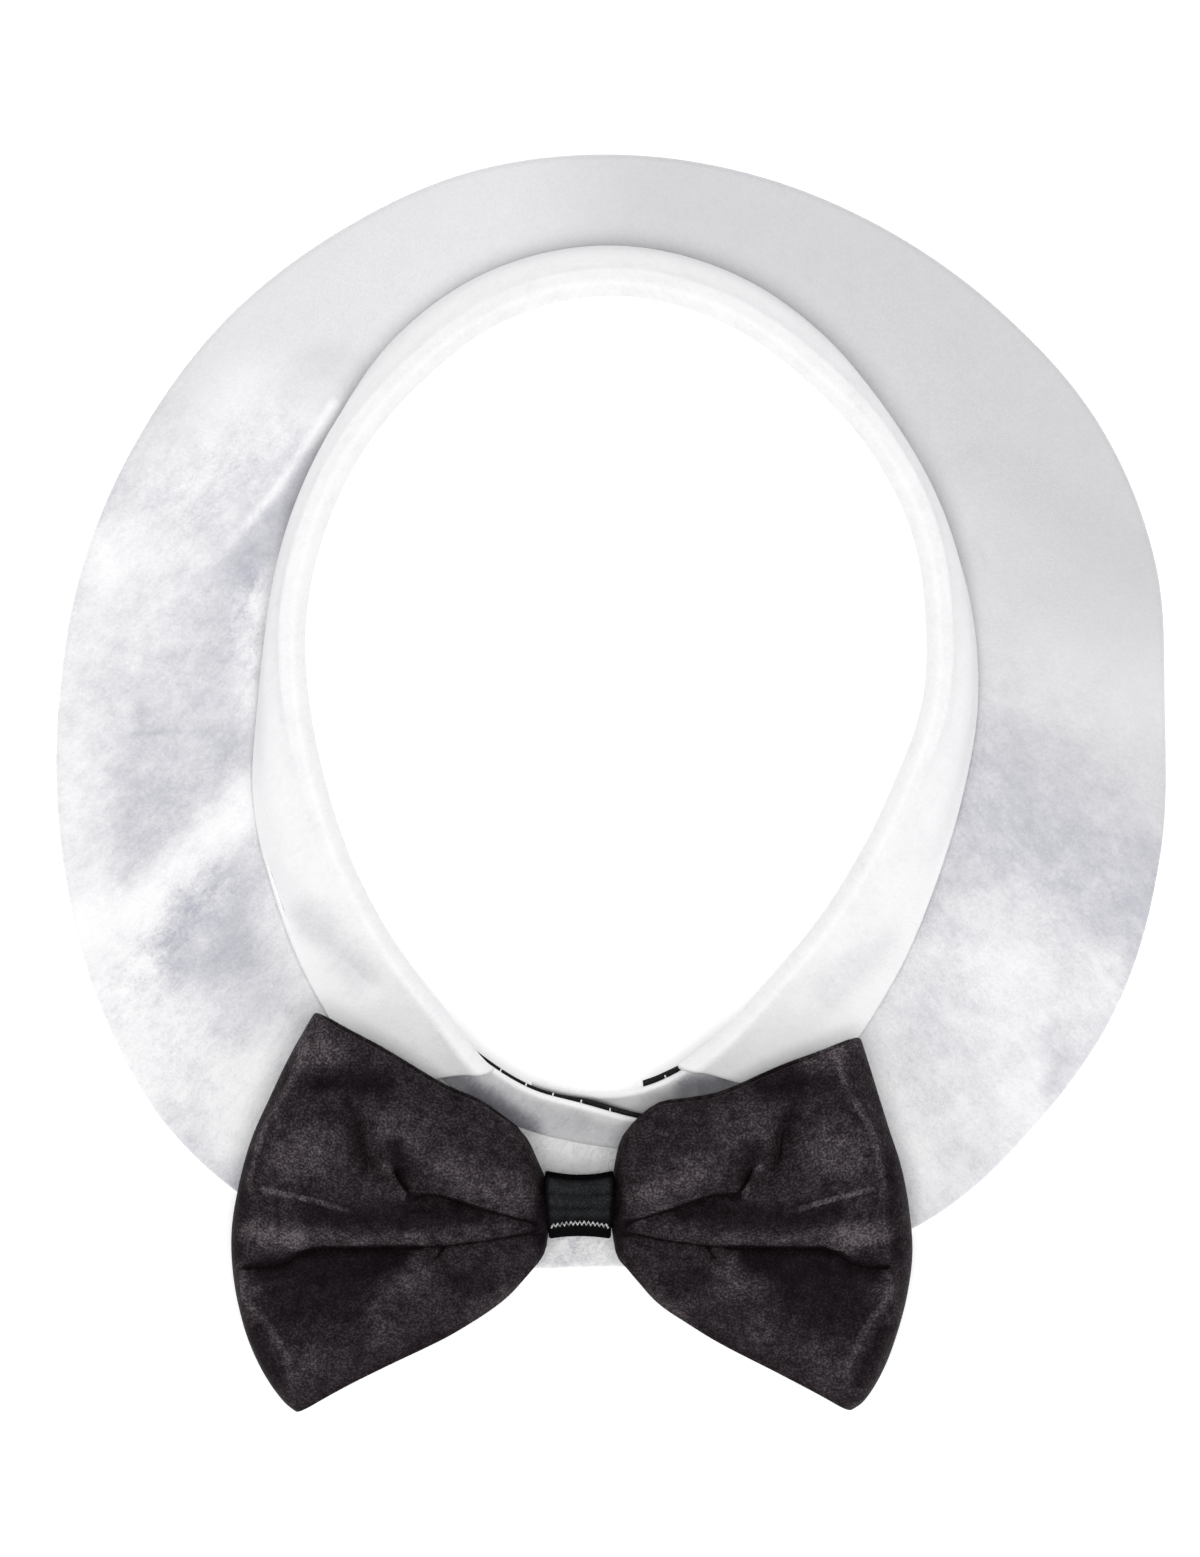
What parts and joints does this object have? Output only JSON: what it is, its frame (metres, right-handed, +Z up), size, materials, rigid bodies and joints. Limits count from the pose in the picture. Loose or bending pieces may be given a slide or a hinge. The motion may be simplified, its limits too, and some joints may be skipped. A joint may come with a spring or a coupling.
{
  "type": "bow tie collar",
  "caption": "White satin shirt collar on a wide flat yoke, closed at the front, with a black satin bow tie.",
  "frame": {"origin": "middle of the collar's footprint on the table it lies on", "axes": "+Z up from the table, +Y towards the back of the neck, the bow at -Y, +X to the right seen from above"},
  "size_m": [0.1997, 0.2261, 0.024],
  "materials": {
    "white_satin": "white polyester satin, interlined",
    "black_satin": "black polyester satin, soft sheen",
    "black_tape": "black woven hook-and-loop tape"
  },
  "bodies": {
    "root": {"yoke": "white_satin", "neckband": "white_satin", "collar_leaf": "white_satin", "closure_strip_left": "black_tape", "closure_strip_right": "black_tape", "bow": "black_satin", "knot": "black_satin", "bow_tack_pad": "black_tape"}
  },
  "joints": []
}
